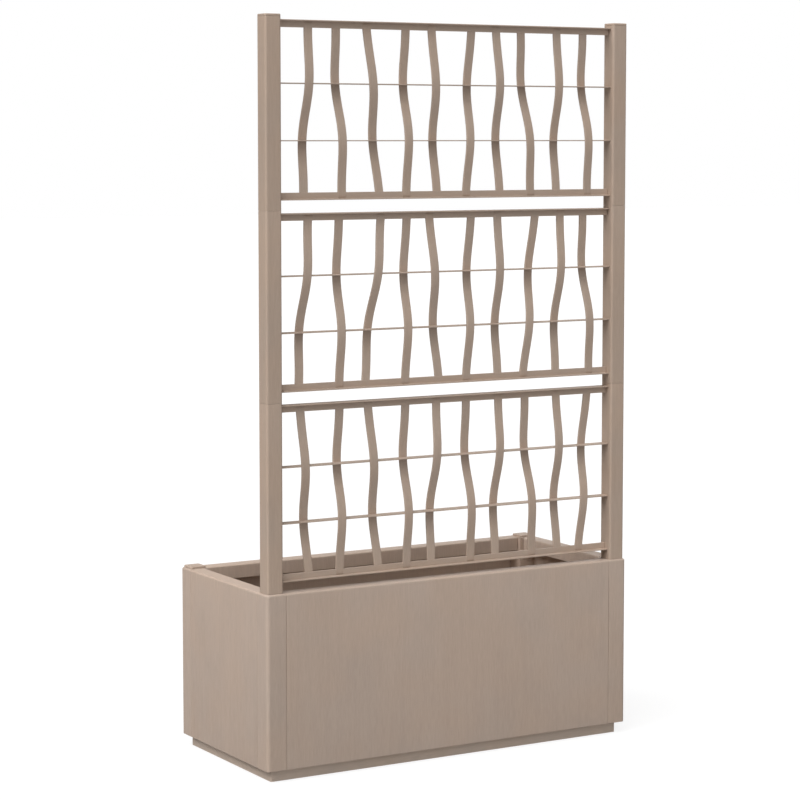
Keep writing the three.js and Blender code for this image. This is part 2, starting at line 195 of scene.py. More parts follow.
class FinishColours(bpy.types.PropertyGroup):
    """Colours of the moulded plastic"""

    wall: tint("Walls", "Walls, corner posts and their caps", (0.478, 0.378, 0.311))
    upright: tint("Uprights", "Uprights and their caps", (0.452, 0.350, 0.280))
    lattice: tint("Lattice", "Rails, fins and slats", (0.445, 0.347, 0.280))
    tray: tint("Tray", "Base tray", (0.585, 0.478, 0.398))


class StageSettings(bpy.types.PropertyGroup):
    """Camera, floor and light"""

    position: bpy.props.FloatVectorProperty(
        name="Camera position", description="Place of the camera", subtype="TRANSLATION", size=3,
        default=(-2.4672, -4.1635, 1.1785))
    heading: angle("Heading", "Camera turned from +Y towards +X", 30.52)
    dip: angle("Dip", "Camera tilted below the horizon", 4.892)
    lens: number("Lens", "Focal length for a 36 mm sensor", 112.275, unit="CAMERA")
    drop: number("Vertical shift", "Lens shift, in frame widths", -0.06)
    sky: number("Room light", "Strength of the even light of the room", 0.03)
    bounce: number("Floor bounce", "Share of light that the floor sends back up", 0.38,
                   min=0, max=1)
    floor_glow: number("Floor glow", "Light that lifts the floor's shadows in the picture", 0.83)
    left_light: number("Left light", "Strength of the light from the left", 1.74)
    side_light: number("Side light", "Strength of the light between left and front", 1.28)
    high_light: number("High light", "Strength of the light high above", 1.1)
    front_light: number("Front light", "Strength of the low light at the front", 0.55)
    back_light: number("Back light", "Strength of the low light behind", 1.0)
    softness: angle("Softness", "How wide each light spreads", 40)


# ---------------------------------------------------------------- shader groups


def new_group(name, inputs, outputs):
    """An empty shader group with named sockets; returns the tree and its input and output nodes."""
    tree = bpy.data.node_groups.new(name, "ShaderNodeTree")
    for label, kind, default in inputs:
        socket = tree.interface.new_socket(label, in_out="INPUT", socket_type=f"NodeSocket{kind}")
        if default is not None:
            socket.default_value = default
    for label, kind in outputs:
        tree.interface.new_socket(label, in_out="OUTPUT", socket_type=f"NodeSocket{kind}")
    return tree, tree.nodes.new("NodeGroupInput"), tree.nodes.new("NodeGroupOutput")


def fill(tree, socket, value):
    """Links a socket to another one, or gives it a value of its own."""
    if isinstance(value, bpy.types.NodeSocket):
        tree.links.new(value, socket)
    else:
        socket.default_value = value


def place(tree, node, key, value):
    """Fills one input of a node, by its name or by its number as in_2."""
    name = int(key[3:]) if key.startswith("in_") else key.replace("_", " ")
    fill(tree, node.inputs[name], value)


def add(tree, kind, settings=None, **sockets):
    """A node with its settings and its inputs filled."""
    node = tree.nodes.new(kind)
    for key, value in (settings or {}).items():
        setattr(node, key, value)
    for key, value in sockets.items():
        place(tree, node, key, value)
    return node


def math_node(tree, operation, a, b=0.5, c=0.0, clamp=False):
    """The output of one Math node."""
    return add(tree, "ShaderNodeMath", {"operation": operation, "use_clamp": clamp},
               in_0=a, in_1=b, in_2=c).outputs[0]


def weighted(tree, *terms):
    """The sum of values times their weights, given as pairs."""
    *others, (value, weight) = terms
    total = math_node(tree, "MULTIPLY", value, weight)
    for value, weight in reversed(others):
        total = math_node(tree, "MULTIPLY_ADD", value, weight, total)
    return total


def ranged(tree, value, low, high, to_low=0.0, to_high=1.0, smooth=False):
    """A value spread from one range to another, kept inside it."""
    settings = {"interpolation_type": "SMOOTHSTEP"} if smooth else {}
    return add(tree, "ShaderNodeMapRange", settings, Value=value, From_Min=low, From_Max=high,
               To_Min=to_low, To_Max=to_high).outputs[0]


def mixed(tree, factor, a, b, blend="MIX"):
    """The output of a colour Mix node."""
    node = tree.nodes.new("ShaderNodeMix")
    node.data_type = "RGBA"
    node.blend_type = blend
    for number_in, value in ((0, factor), (6, a), (7, b)):
        fill(tree, node.inputs[number_in], value)
    return node.outputs[2]


def dimmed(tree, colour, value):
    """A colour multiplied by one value."""
    even = add(tree, "ShaderNodeCombineColor", Red=value, Green=value, Blue=value)
    return mixed(tree, 1.0, colour, even.outputs[0], "MULTIPLY")


def grain_group():
    """Short embossed wood-grain strokes along one direction, in three sizes."""
    tree, given, made = new_group(
        "Embossed grain",
        [("Vector", "Vector", None), ("Scale", "Float", 700.0), ("Stretch", "Float", 0.06)],
        [("Height", "Float"), ("Streaks", "Float")])
    stretch = add(tree, "ShaderNodeCombineXYZ", X=1.0, Y=1.0, Z=given.outputs["Stretch"])
    along = add(tree, "ShaderNodeVectorMath", {"operation": "MULTIPLY"},
                in_0=given.outputs["Vector"], in_1=stretch.outputs[0])
    scale = given.outputs["Scale"]
    strokes = add(tree, "ShaderNodeTexNoise", Vector=along.outputs[0], Scale=scale,
                  Detail=3.0, Roughness=0.55, Distortion=0.15)
    wide = add(tree, "ShaderNodeTexNoise", Vector=along.outputs[0],
               Scale=math_node(tree, "MULTIPLY", scale, 0.22), Detail=2.0, Roughness=0.5,
               Distortion=0.3)
    pores = add(tree, "ShaderNodeTexVoronoi", {"feature": "F1"}, Vector=along.outputs[0],
                Scale=math_node(tree, "MULTIPLY", scale, 0.55))
    cut = ranged(tree, pores.outputs["Distance"], 0.05, 0.32, 0.0, 1.0, smooth=True)
    stroke = ranged(tree, strokes.outputs[0], 0.32, 0.68)
    broad = ranged(tree, wide.outputs[0], 0.30, 0.70)
    place(tree, made, "Height", weighted(tree, (stroke, 0.6), (broad, 0.25), (cut, 0.15)))
    place(tree, made, "Streaks", weighted(tree, (stroke, 0.7), (broad, 0.3)))
    return tree


def blotch_group():
    """Slow uneven tone of a dyed moulding, with clouds of two sizes."""
    tree, given, made = new_group(
        "Tone clouds",
        [("Vector", "Vector", None), ("Scale", "Float", 6.0)],
        [("Light", "Float"), ("Warm", "Float")])
    squeeze = add(tree, "ShaderNodeVectorMath", {"operation": "MULTIPLY"},
                  in_0=given.outputs["Vector"], in_1=(1.0, 1.0, 0.45))
    large = add(tree, "ShaderNodeTexNoise", Vector=squeeze.outputs[0],
                Scale=given.outputs["Scale"], Detail=2.0, Roughness=0.5)
    small = add(tree, "ShaderNodeTexNoise", Vector=squeeze.outputs[0],
                Scale=math_node(tree, "MULTIPLY", given.outputs["Scale"], 4.0), Detail=3.0,
                Roughness=0.55)
    light = weighted(tree, (ranged(tree, large.outputs[0], 0.3, 0.7), 0.6),
                     (ranged(tree, small.outputs[0], 0.3, 0.7), 0.4))
    hue = add(tree, "ShaderNodeTexNoise", Vector=given.outputs["Vector"],
              Scale=math_node(tree, "MULTIPLY", given.outputs["Scale"], 1.7), Detail=1.0)
    place(tree, made, "Light", light)
    place(tree, made, "Warm", ranged(tree, hue.outputs[0], 0.35, 0.65))
    return tree


def wear_group():
    """Where handling has polished the edges: next to an edge, broken up by noise."""
    tree, given, made = new_group(
        "Edge wear",
        [("Vector", "Vector", None), ("Radius", "Float", 0.002)],
        [("Edge", "Float")])
    bent = add(tree, "ShaderNodeBevel", {"samples": 4}, Radius=given.outputs["Radius"])
    flat = add(tree, "ShaderNodeNewGeometry")
    meet = add(tree, "ShaderNodeVectorMath", {"operation": "DOT_PRODUCT"},
               in_0=bent.outputs[0], in_1=flat.outputs["Normal"])
    turn = ranged(tree, meet.outputs["Value"], 0.995, 0.86)
    patches = add(tree, "ShaderNodeTexNoise", Vector=given.outputs["Vector"], Scale=90.0,
                  Detail=3.0, Roughness=0.6)
    broken = ranged(tree, patches.outputs[0], 0.3, 0.62)
    place(tree, made, "Edge", math_node(tree, "MULTIPLY", turn, broken, clamp=True))
    return tree


def dust_and_bounce_group():
    """Fine dust on the faces that look up, and painted bounce light as a pale band near the ground.
    """
    tree, given, made = new_group(
        "Settled dust",
        [("Vector", "Vector", None), ("Splash height", "Float", 0.06)],
        [("Dust", "Float")])
    normal = add(tree, "ShaderNodeSeparateXYZ",
                 Vector=add(tree, "ShaderNodeNewGeometry").outputs["Normal"])
    spot = add(tree, "ShaderNodeSeparateXYZ", Vector=given.outputs["Vector"])
    up = ranged(tree, normal.outputs["Z"], 0.55, 1.0)
    # Painted bounce light: this mask grows towards the ground, below the given height
    low = math_node(tree, "SUBTRACT", 1.0,
                    math_node(tree, "DIVIDE", spot.outputs["Z"], given.outputs["Splash height"]),
                    clamp=True)
    specks = add(tree, "ShaderNodeTexNoise", Vector=given.outputs["Vector"], Scale=160.0,
                 Detail=4.0, Roughness=0.65)
    amount = math_node(tree, "MULTIPLY_ADD", low, 0.6, up, clamp=True)
    place(tree, made, "Dust",
          math_node(tree, "MULTIPLY", amount, ranged(tree, specks.outputs[0], 0.38, 0.75)))
    return tree


def shader_group(name):
    """A shared group by name, built on first use."""
    makers = {"Embossed grain": grain_group, "Tone clouds": blotch_group,
              "Edge wear": wear_group, "Settled dust": dust_and_bounce_group}
    return bpy.data.node_groups.get(name) or makers[name]()


def grouped(tree, name, **sockets):
    """Places a shared group in a material with its own values."""
    node = tree.nodes.new("ShaderNodeGroup")
    node.node_tree = shader_group(name)
    for key, value in sockets.items():
        place(tree, node, key, value)
    return node


def plastic(name, colour, along="Z", shift=(0.0, 0.0, 0.0), grain=0.42, clouds=0.05, rise=None,
            foot_shade=1.0):
    """Moulded plastic with an embossed grain that runs along one axis.

    shift moves the pattern, so that neighbours differ. rise, a pair of heights, paints shade and
    light
    by height: the tone changes slowly from a darker foot, painted shade, to a lighter head, painted
    light.
    """
    material = bpy.data.materials.new(name)
    material.use_nodes = True
    tree = material.node_tree
    shader = tree.nodes["Principled BSDF"]
    where = add(tree, "ShaderNodeTexCoord").outputs["Object"]
    turn = tuple(math.radians(degrees) for degrees in GRAIN_TURNS[along])
    laid = add(tree, "ShaderNodeMapping", Vector=where, Rotation=turn, Location=shift).outputs[0]

    marks = grouped(tree, "Embossed grain", Vector=laid)
    cloud = grouped(tree, "Tone clouds", Vector=laid)
    wear = grouped(tree, "Edge wear", Vector=where)
    dust_and_bounce = grouped(tree, "Settled dust", Vector=where)

    def shade(amount, warmth=0.0):
        red, green, blue = colour
        return (min(1, red * amount * (1 + warmth)), min(1, green * amount),
                min(1, blue * amount * (1 - warmth)), 1.0)

    tone = mixed(tree, cloud.outputs["Light"], shade(1 - clouds), shade(1 + clouds))
    tone = mixed(tree, math_node(tree, "MULTIPLY", cloud.outputs["Warm"], 0.5), tone,
                 shade(1.0, WARMTH))
    darker, lighter = (1 + grain * step for step in STREAK_TONES)
    tone = dimmed(tree, tone, ranged(tree, marks.outputs["Streaks"], 0.2, 0.8, darker, lighter))
    # Painted shade and light by height: the piece is darker near its foot and lighter near its top
    if rise:
        height = add(tree, "ShaderNodeSeparateXYZ", Vector=where).outputs["Z"]
        tone = dimmed(tree, tone, ranged(tree, height, *rise, foot_shade, PAINTED_HEAD_LIGHT))
    worn = math_node(tree, "MULTIPLY", wear.outputs["Edge"], WORN_SHARE)
    tone = mixed(tree, worn, tone, shade(WORN_TONE))
    # Mixes in dust, and the painted bounce light near the ground
    dust_and_bounce_mix = math_node(tree, "MULTIPLY", dust_and_bounce.outputs["Dust"], DUST_AND_BOUNCE_SHARE)
    tone = mixed(tree, dust_and_bounce_mix, tone, DUST_AND_BOUNCE_COLOUR)
    tree.links.new(tone, shader.inputs["Base Color"])

    rough = ranged(tree, marks.outputs["Streaks"], 0.0, 1.0, *ROUGHNESS)
    rough = math_node(tree, "MULTIPLY_ADD", wear.outputs["Edge"], WORN_ROUGHNESS, rough)
    rough = math_node(tree, "MULTIPLY_ADD", dust_and_bounce.outputs["Dust"], DUST_AND_BOUNCE_ROUGHNESS, rough,
                      clamp=True)
    tree.links.new(rough, shader.inputs["Roughness"])
    shader.inputs["IOR"].default_value = 1.46
    shader.inputs["Specular IOR Level"].default_value = 0.38

    bump = add(tree, "ShaderNodeBump", Strength=0.35, Distance=GRAIN_DEPTH * grain,
               Height=marks.outputs["Height"])
    tree.links.new(bump.outputs[0], shader.inputs["Normal"])
    return material


# ---------------------------------------------------------------- mesh helpers


def block(bm, low, high):
    """A block between two corners; returns its edges."""
    low, high = Vector(low), Vector(high)
    made = bmesh.ops.create_cube(bm, size=1.0)["verts"]
    bmesh.ops.scale(bm, vec=high - low, verts=made)
    bmesh.ops.translate(bm, vec=(low + high) / 2, verts=made)
    return parts_of(made)[0]


def parts_of(verts):
    """The edges and faces at some vertices."""
    edges = list(dict.fromkeys(e for v in verts for e in v.link_edges))
    faces = list(dict.fromkeys(f for v in verts for f in v.link_faces))
    return edges, faces


def runs_along(edge, axis):
    """Whether an edge is parallel to an axis, 0 for X, 1 for Y and 2 for Z."""
    run = edge.verts[1].co - edge.verts[0].co
    return run.length > TINY and abs(run[axis]) > PARALLEL * run.length


def rounded(bm, edges, radius, segments):
    """Rounds edges."""
    bmesh.ops.bevel(bm, geom=list(edges), offset=radius, offset_type="OFFSET", segments=segments,
                    profile=0.5, affect="EDGES", material=-1, clamp_overlap=True)


def facing(bm_faces, axis, sign):
    """The face that lies furthest out along an axis and is square to it."""
    flat = [f for f in bm_faces if f.normal[axis] * sign > SQUARE_ON]
    return max(flat, key=lambda f: (round(f.calc_center_median()[axis] * sign, 6), f.calc_area()))


def sunk(bm, face, margin, depth, axis=2):
    """Insets a face and pushes the inner face along the axis by depth; returns the inner face."""
    if margin:
        bmesh.ops.inset_region(bm, faces=[face], thickness=margin, use_even_offset=True)
    moved = bmesh.ops.extrude_discrete_faces(bm, faces=[face])["faces"][0]
    push = Vector((0, 0, 0))
    push[axis] = depth
    bmesh.ops.translate(bm, vec=push, verts=moved.verts)
    return moved


def bored(bm, face, margin, depth):
    """Shrinks a square face by a margin, with its corners, and pushes it in; returns it."""
    shrunk = bmesh.ops.extrude_discrete_faces(bm, faces=[face])["faces"][0]
    centre = shrunk.calc_center_bounds()
    share = 1 - margin / max(v.co.x - centre.x for v in shrunk.verts)
    bmesh.ops.scale(bm, vec=(share, share, 1), space=Matrix.Translation(-centre),
                    verts=list(shrunk.verts))
    return sunk(bm, shrunk, 0, depth)


def cut_at(bm, axis, spot):
    """Cuts all faces along a plane square to an axis; points that lie on it aren't doubled."""
    normal = Vector((0, 0, 0))
    normal[axis] = 1
    bmesh.ops.bisect_plane(bm, geom=bm.verts[:] + bm.edges[:] + bm.faces[:], dist=ON_PLANE,
                           plane_co=normal * spot, plane_no=normal)


def joined_through(bm, face_a, face_b):
    """Opens two facing faces and joins their rims, so that a hollow runs through."""
    rims = list(face_a.edges) + list(face_b.edges)
    bmesh.ops.delete(bm, geom=[face_a, face_b], context="FACES_ONLY")
    bmesh.ops.bridge_loops(bm, edges=rims)


def section_along(bm, outline, start, end):
    """An outline in the plane square to X, drawn out from start to end; returns its long edges."""
    verts = [bm.verts.new((start, y, z)) for y, z in outline]
    face = bm.faces.new(verts)
    drawn = bmesh.ops.extrude_face_region(bm, geom=[face])["geom"]
    moved = [v for v in drawn if isinstance(v, bmesh.types.BMVert)]
    bmesh.ops.translate(bm, vec=(end - start, 0, 0), verts=moved)
    edges, faces = parts_of(verts + moved)
    bmesh.ops.recalc_face_normals(bm, faces=faces)
    return [e for e in edges if runs_along(e, 0)]


def near(edge, y, z):
    """Whether an edge along X runs through a point of the outline."""
    spot = (edge.verts[0].co + edge.verts[1].co) / 2
    return abs(spot.y - y) < CLOSE and abs(spot.z - z) < CLOSE


def softened(piece, width):
    """Rounds the sharp edges that a piece still has."""
    soft = piece.modifiers.new("Small edges", "BEVEL")
    soft.width = width
    soft.segments = 2
    soft.limit_method = "ANGLE"
    soft.angle_limit = SHARP_BEND


def finished(bm, name, body, nodes, material, edge):
    """Makes the named piece, rounds its last sharp edges, ties it to its body and hides its solids.
    """
    mesh = bpy.data.meshes.new(name)
    bm.to_mesh(mesh)
    bm.free()
    mesh.materials.append(material)
    mesh.shade_smooth()
    piece = bpy.data.objects.new(name, mesh)
    bpy.context.scene.collection.objects.link(piece)
    if edge:
        softened(piece, edge)
    even = piece.modifiers.new("Even shading", "WEIGHTED_NORMAL")
    even.weight = 80
    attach(piece, body)
    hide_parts(*nodes)


# ---------------------------------------------------------------- pieces


def sizes():
    return bpy.context.scene.planter_sizes


def trellis_sizes():
    return bpy.context.scene.trellis_sizes


def colours():
    return bpy.context.scene.finish_colours


def corner_post(name, node, seed):
    """A square post with a rounded outer corner, a rounded top edge and a square socket."""
    s = sizes()
    low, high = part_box(node)
    middle = (low + high) / 2
    out = Vector((math.copysign(1, middle.x), math.copysign(1, middle.y), 0))
    bm = bmesh.new()
    block(bm, low, high)
    outer = Vector((high.x if out.x > 0 else low.x, high.y if out.y > 0 else low.y, 0))
    corner = [e for e in bm.edges if runs_along(e, 2)
              and (e.verts[0].co.xy - outer.xy).length < CLOSE]
    rounded(bm, corner, s.corner_radius, segments=10)
    reach = s.corner_radius + ON_PLANE

    def on_outside(point):
        in_corner = (point.x * out.x > outer.x * out.x - reach
                     and point.y * out.y > outer.y * out.y - reach)
        return in_corner or abs(point.x - outer.x) < CLOSE or abs(point.y - outer.y) < CLOSE

    seams = (outer.x - out.x * (high.x - low.x), outer.y - out.y * (high.y - low.y))
    ring = [e for e in bm.edges
            if all(abs(v.co.z - high.z) < ON_PLANE and on_outside(v.co) for v in e.verts)
            and not all(abs(v.co.x - seams[0]) < CLOSE for v in e.verts)
            and not all(abs(v.co.y - seams[1]) < CLOSE for v in e.verts)]
    rounded(bm, ring, s.top_edge, segments=6)

    # The socket is cut out between four planes
    half = s.socket / 2
    for axis in (0, 1):
        for side in (-1, 1):
            cut_at(bm, axis, middle[axis] + side * half)
    bm.normal_update()

    def socket_face(sign):
        faces = [f for f in bm.faces if f.normal.z * sign > SQUARE_ON
                 and (f.calc_center_median().xy - middle.xy).length < half / 2]
        return max(faces, key=lambda f: f.calc_area())

    floor = sunk(bm, socket_face(1), 0, -(high.z - low.z) * POST_SOCKET)
    roof = sunk(bm, socket_face(-1), 0, (high.z - low.z) * POST_HOLLOW)
    joined_through(bm, floor, roof)
    # The post's finish is painted darker towards the ground: painted shade
    finished(bm, name, "planter", [node],
             plastic(f"{name} finish", colours().wall, shift=seed, grain=0.45, clouds=0.04,
                     rise=(low.z, high.z), foot_shade=POST_FOOT_SHADE), SMALL_EDGES["wall"])


def end_tongues(bm, depths, heights):
    """Draws a tongue out of each end of a wall, between two depths and two heights."""
    for axis, limits in ((1, depths), (2, heights)):
        for limit in limits:
            cut_at(bm, axis, limit)
    bm.normal_update()
    ends = [f for f in bm.faces if abs(f.normal.x) > SQUARE_ON
            and depths[0] < f.calc_center_median().y < depths[1]
            and heights[0] < f.calc_center_median().z < heights[1]]
    for end in ends:
        reach = math.copysign(WALL_SEAM + TONGUE_LENGTH, end.calc_center_median().x)
        sunk(bm, end, 0, reach, axis=0)


def wall(name, node, seed, turn, outer, half_length, foot_shade=WALL_FOOT_SHADE):
    """A wall with a wide rim, a skirt inside it and a foot flange."""
    s = sizes()
    low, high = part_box(node)
    bottom, top = low.z, high.z
    outline = [
        (0, bottom), (s.foot_reach, bottom), (s.foot_reach, bottom + s.rim_thickness),
        (s.wall_skin, bottom + s.rim_thickness), (s.wall_skin, top - s.rim_thickness),
        (s.rim_width - s.skirt_thickness, top - s.rim_thickness),
        (s.rim_width - s.skirt_thickness, top - s.skirt_drop), (s.rim_width, top - s.skirt_drop),
        (s.rim_width, top), (0, top)]
    bm = bmesh.new()
    long_edges = section_along(bm, outline, -half_length, half_length)
    rounded(bm, [e for e in long_edges if near(e, 0, top)], s.top_edge, segments=6)
    inner = [e for e in bm.edges if runs_along(e, 0) and near(e, s.rim_width, top)]
    rounded(bm, inner, s.inner_edge, segments=5)
    end_tongues(bm, (s.wall_skin - TONGUE_THICKNESS, s.wall_skin),
                (bottom + TONGUE_GAPS[0], top - TONGUE_GAPS[1]))
    place_in_frame = Matrix.Rotation(turn, 4, "Z") @ Matrix.Translation((0, outer, 0))
    bmesh.ops.transform(bm, matrix=place_in_frame, verts=bm.verts)
    # The wall's finish is painted darker towards its foot: painted shade
    finished(bm, name, "planter", [node],
             plastic(f"{name} finish", colours().wall, shift=seed, rise=(bottom, top),
                     foot_shade=foot_shade), SMALL_EDGES["wall"])


def square_box(node):
    """Middle and side of a square piece's section, with its lowest and its highest point."""
    low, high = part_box(node)
    return ((low.x + high.x) / 2, (low.y + high.y) / 2), high.x - low.x, low.z, high.z


def square_tube(bm, centre, side, radius, low, high):
    """A square bar with rounded long edges, to be hollowed; returns its top and bottom faces."""
    half = side / 2
    x, y = centre
    edges = block(bm, (x - half, y - half, low), (x + half, y + half, high))
    rounded(bm, [e for e in edges if runs_along(e, 2)], radius, segments=8)
    bm.normal_update()
    return facing(bm.faces, 2, 1), facing(bm.faces, 2, -1)


def upright_section(name, node, seed):
    """One section of an upright: a square tube with a spigot below its shoulder."""
    t = trellis_sizes()
    centre, side, foot, head = square_box(node)
    shoulder = foot + SPIGOT_LENGTH
    height = head - shoulder
    bm = bmesh.new()
    top, bottom = square_tube(bm, centre, side, t.upright_radius, shoulder, head)
    socket_floor = sunk(bm, top, t.upright_wall, -height * UPRIGHT_SOCKET)
    end = sunk(bm, bottom, (side - t.spigot) / 2, -SPIGOT_LENGTH)
    hollow = bored(bm, end, PLUG_WALL, SPIGOT_LENGTH + height * UPRIGHT_HOLLOW)
    joined_through(bm, socket_floor, hollow)
    # The section's finish is painted lighter towards its top: painted light, with painted shade
    # below
    finished(bm, name, "trellis", [node],
             plastic(f"{name} finish", colours().upright, shift=seed,
                     rise=((shoulder + head) / 2, head), foot_shade=UPRIGHT_FOOT_SHADE, **FINE),
             SMALL_EDGES["upright"])


def cap(name, node, body, colour, seed):
    """A square cap with a rounded top edge and a hollow plug."""
    t = trellis_sizes()
    centre, side, foot, head = square_box(node)
    seat = head - t.cap_thickness
    bm = bmesh.new()
    top, bottom = square_tube(bm, centre, side, t.upright_radius, seat, head)
    rounded(bm, top.edges, CAP_TOP_EDGE, segments=4)
    end = sunk(bm, bottom, (side - t.spigot) / 2, foot - seat)
    bored(bm, end, PLUG_WALL, seat - foot + t.cap_thickness * CAP_HOLLOW)
    finished(bm, name, body, [node],
             plastic(f"{name} finish", colour, shift=seed, **FINE), SMALL_EDGES["cap"])


def rail_reach():
    """Half the clear width between the uprights."""
    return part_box("upright_right_lower")[0].x - SEAM


def lattice_piece(bm, kind, level, node, seed, along="Z"):
    """Finishes the rails, fins or slats of one panel."""
    finished(bm, f"{kind}_{level}", "trellis", [node],
             plastic(f"{kind} {level} finish", colours().lattice, along, seed, **FINE),
             SMALL_EDGES[kind])


def rails(level, node):
    """The top and bottom rails of a panel, each a flange with a web."""
    t = trellis_sizes()
    low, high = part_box(node)
    middle = (low.y + high.y) / 2
    reach = rail_reach()
    depth, web = t.flange_depth / 2, t.slat_thickness / 2
    bm = bmesh.new()
    for outer, inward in ((low.z, 1), (high.z, -1)):
        inner = outer + inward * t.flange_thickness
        tip = outer + inward * t.rail_height
        outline = [(middle - depth, outer), (middle + depth, outer), (middle + depth, inner),
                   (middle + web, inner), (middle + web, tip), (middle - web, tip),
                   (middle - web, inner), (middle - depth, inner)]
        section_along(bm, outline, -reach, reach)
        hollow = [e for e in bm.edges if runs_along(e, 0)
                  and (near(e, middle + web, inner) or near(e, middle - web, inner))]
        rounded(bm, hollow, t.fillet, segments=3)
    lattice_piece(bm, "rails", level, node, (0.3, 0.7, high.z), along="X")


def fins(level, node):
    """The two thin fins across a panel."""
    t = trellis_sizes()
    low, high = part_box(node)
    middle = (low.y + high.y) / 2
    reach = rail_reach()
    bm = bmesh.new()
    for share in FIN_SHARES:
        level_z = high.z - share * (high.z - low.z)
        block(bm, (-reach, middle - t.flange_depth / 2, level_z - t.fin_thickness / 2),
              (reach, middle + t.flange_depth / 2, level_z + t.fin_thickness / 2))
    lattice_piece(bm, "fins", level, node, (0.9, 0.1, high.z), along="X")


def sway(share, is_late):
    """How far a slat stands off the middle of the panel, at a share of the height from the top."""
    t = trellis_sizes()
    at = share - t.late_shift * math.sin(math.pi * share) if is_late else share
    wave = t.sway * math.sin(2 * math.pi * at) - t.second_sway * math.sin(4 * math.pi * at)
    return t.late_size * wave if is_late else wave


def slats(level, node):
    """Ten slats that lean one way or the other and pass in front of one fin and behind the next."""
    t = trellis_sizes()
    low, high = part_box(node)
    middle = (low.y + high.y) / 2
    height = high.z - low.z
    in_rail = t.flange_thickness / 2
    offsets = SLAT_OFFSETS[level]
    pitch = 2 * (rail_reach() - SLAT_MARGIN) / (len(offsets) - 1)
    bm = bmesh.new()
    for index, (at_top, at_bottom) in enumerate(offsets):
        strip = bmesh.new()
        half_width, half_thickness = t.slat_width / 2, t.slat_thickness / 2
        block(strip, (-half_width, -half_thickness, low.z + in_rail),
              (half_width, half_thickness, high.z - in_rail))
        rounded(strip, [e for e in strip.edges if runs_along(e, 2)], SLAT_EDGE, segments=3)
        lengthwise = [e for e in strip.edges if runs_along(e, 2)]
        bmesh.ops.subdivide_edges(strip, edges=lengthwise, cuts=SLAT_CUTS, use_grid_fill=True)
        even = (index - (len(offsets) - 1) / 2) * pitch
        front = -1 if index % 2 == 0 else 1
        for v in strip.verts:
            share = (high.z - v.co.z) / height
            across = even + (at_top + (at_bottom - at_top) * share) / 1000
            v.co += Vector((across, middle + front * sway(share, index in LATE_SLATS[level]), 0))
        scratch = bpy.data.meshes.new("strip")
        strip.to_mesh(scratch)
        strip.free()
        bm.from_mesh(scratch)
        bpy.data.meshes.remove(scratch)
    lattice_piece(bm, "slats", level, node, (0.5, 0.2, high.z))


# ---------------------------------------------------------------- stage


def grey(level):
    """A grey for a colour socket."""
    return (level, level, level, 1)


def set_floor(scene, s):
    """A wide pale floor that sends a share of the light back up."""
    bm = bmesh.new()
    bmesh.ops.create_grid(bm, x_segments=1, y_segments=1, size=FLOOR_SIZE)
    mesh = bpy.data.meshes.new("floor")
    bm.to_mesh(mesh)
    bm.free()
    floor = bpy.data.objects.new("floor", mesh)
    scene.collection.objects.link(floor)
    pale = bpy.data.materials.new("pale floor")
    pale.use_nodes = True
    tree = pale.node_tree
    surface = tree.nodes["Principled BSDF"].inputs
    seen = add(tree, "ShaderNodeLightPath").outputs["Is Camera Ray"]
    fill(tree, surface["Base Color"], mixed(tree, seen, grey(s.bounce), grey(FLOOR_TONE)))
    fill(tree, surface["Emission Color"], WHITE)
    fill(tree, surface["Emission Strength"], math_node(tree, "MULTIPLY", seen, s.floor_glow))
    fill(tree, surface["Roughness"], 0.9)
    mesh.materials.append(pale)


def set_room(scene, s):
    """An even white room, bright to the camera and dim as a light."""
    world = bpy.data.worlds.new("studio")
    world.use_nodes = True
    tree = world.node_tree
    sky = tree.nodes["Background"].inputs
    seen = add(tree, "ShaderNodeLightPath").outputs["Is Camera Ray"]
    fill(tree, sky["Color"], WHITE)
    fill(tree, sky["Strength"], ranged(tree, seen, 0.0, 1.0, s.sky, 1.0))
    scene.world = world


def set_lights(scene, s):
    """Wide soft suns around the planter."""
    for name, turn, rise in LIGHTS:
        light = bpy.data.lights.new(f"{name} light", "SUN")
        light.angle = s.softness
        light.energy = getattr(s, f"{name}_light")
        lamp = bpy.data.objects.new(f"{name} light", light)
        towards = Matrix.Rotation(math.radians(turn), 3, "Z") @ (
            Matrix.Rotation(math.radians(rise), 3, "Y") @ Vector((-1, 0, 0)))
        lamp.location = towards * LIGHT_DISTANCE
        lamp.rotation_mode = "QUATERNION"
        lamp.rotation_quaternion = (-towards).to_track_quat("-Z", "Y")
        scene.collection.objects.link(lamp)


def set_camera(scene, s):
    """The camera at the photo's angle."""
    camera = bpy.data.objects.new("camera", bpy.data.cameras.new("camera"))
    camera.location = s.position
    camera.rotation_euler = (math.pi / 2 - s.dip, 0, -s.heading)
    camera.data.sensor_width = 36
    camera.data.lens = s.lens
    camera.data.shift_y = s.drop
    camera.data.clip_end = 200
    scene.collection.objects.link(camera)
    scene.camera = camera


# ---------------------------------------------------------------- operators


class PLANTER_OT_tray(bpy.types.Operator):
    """Finish the base tray"""

    bl_idname = "planter.tray"
    bl_label = "Base Tray"

    def execute(self, context):
        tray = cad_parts["base_tray"]
        tray.data.materials.clear()
        tray.data.materials.append(plastic("base tray finish", colours().tray, along="X", **FINE))
        tray.modifiers.new("Joined faces", "WELD").merge_threshold = CLOSE
        softened(tray, SMALL_EDGES["tray"])
        return {"FINISHED"}


class PLANTER_OT_corner_posts(bpy.types.Operator):
    """Model the four corner posts with their sockets"""

    bl_idname = "planter.corner_posts"
    bl_label = "Corner Posts"

    def execute(self, context):
        for number, corner in enumerate(CORNERS):
            corner_post(f"corner_{corner}", f"corner_post_{corner}",
                        (1.3 * number, 0.4, 0.2 * number))
        return {"FINISHED"}


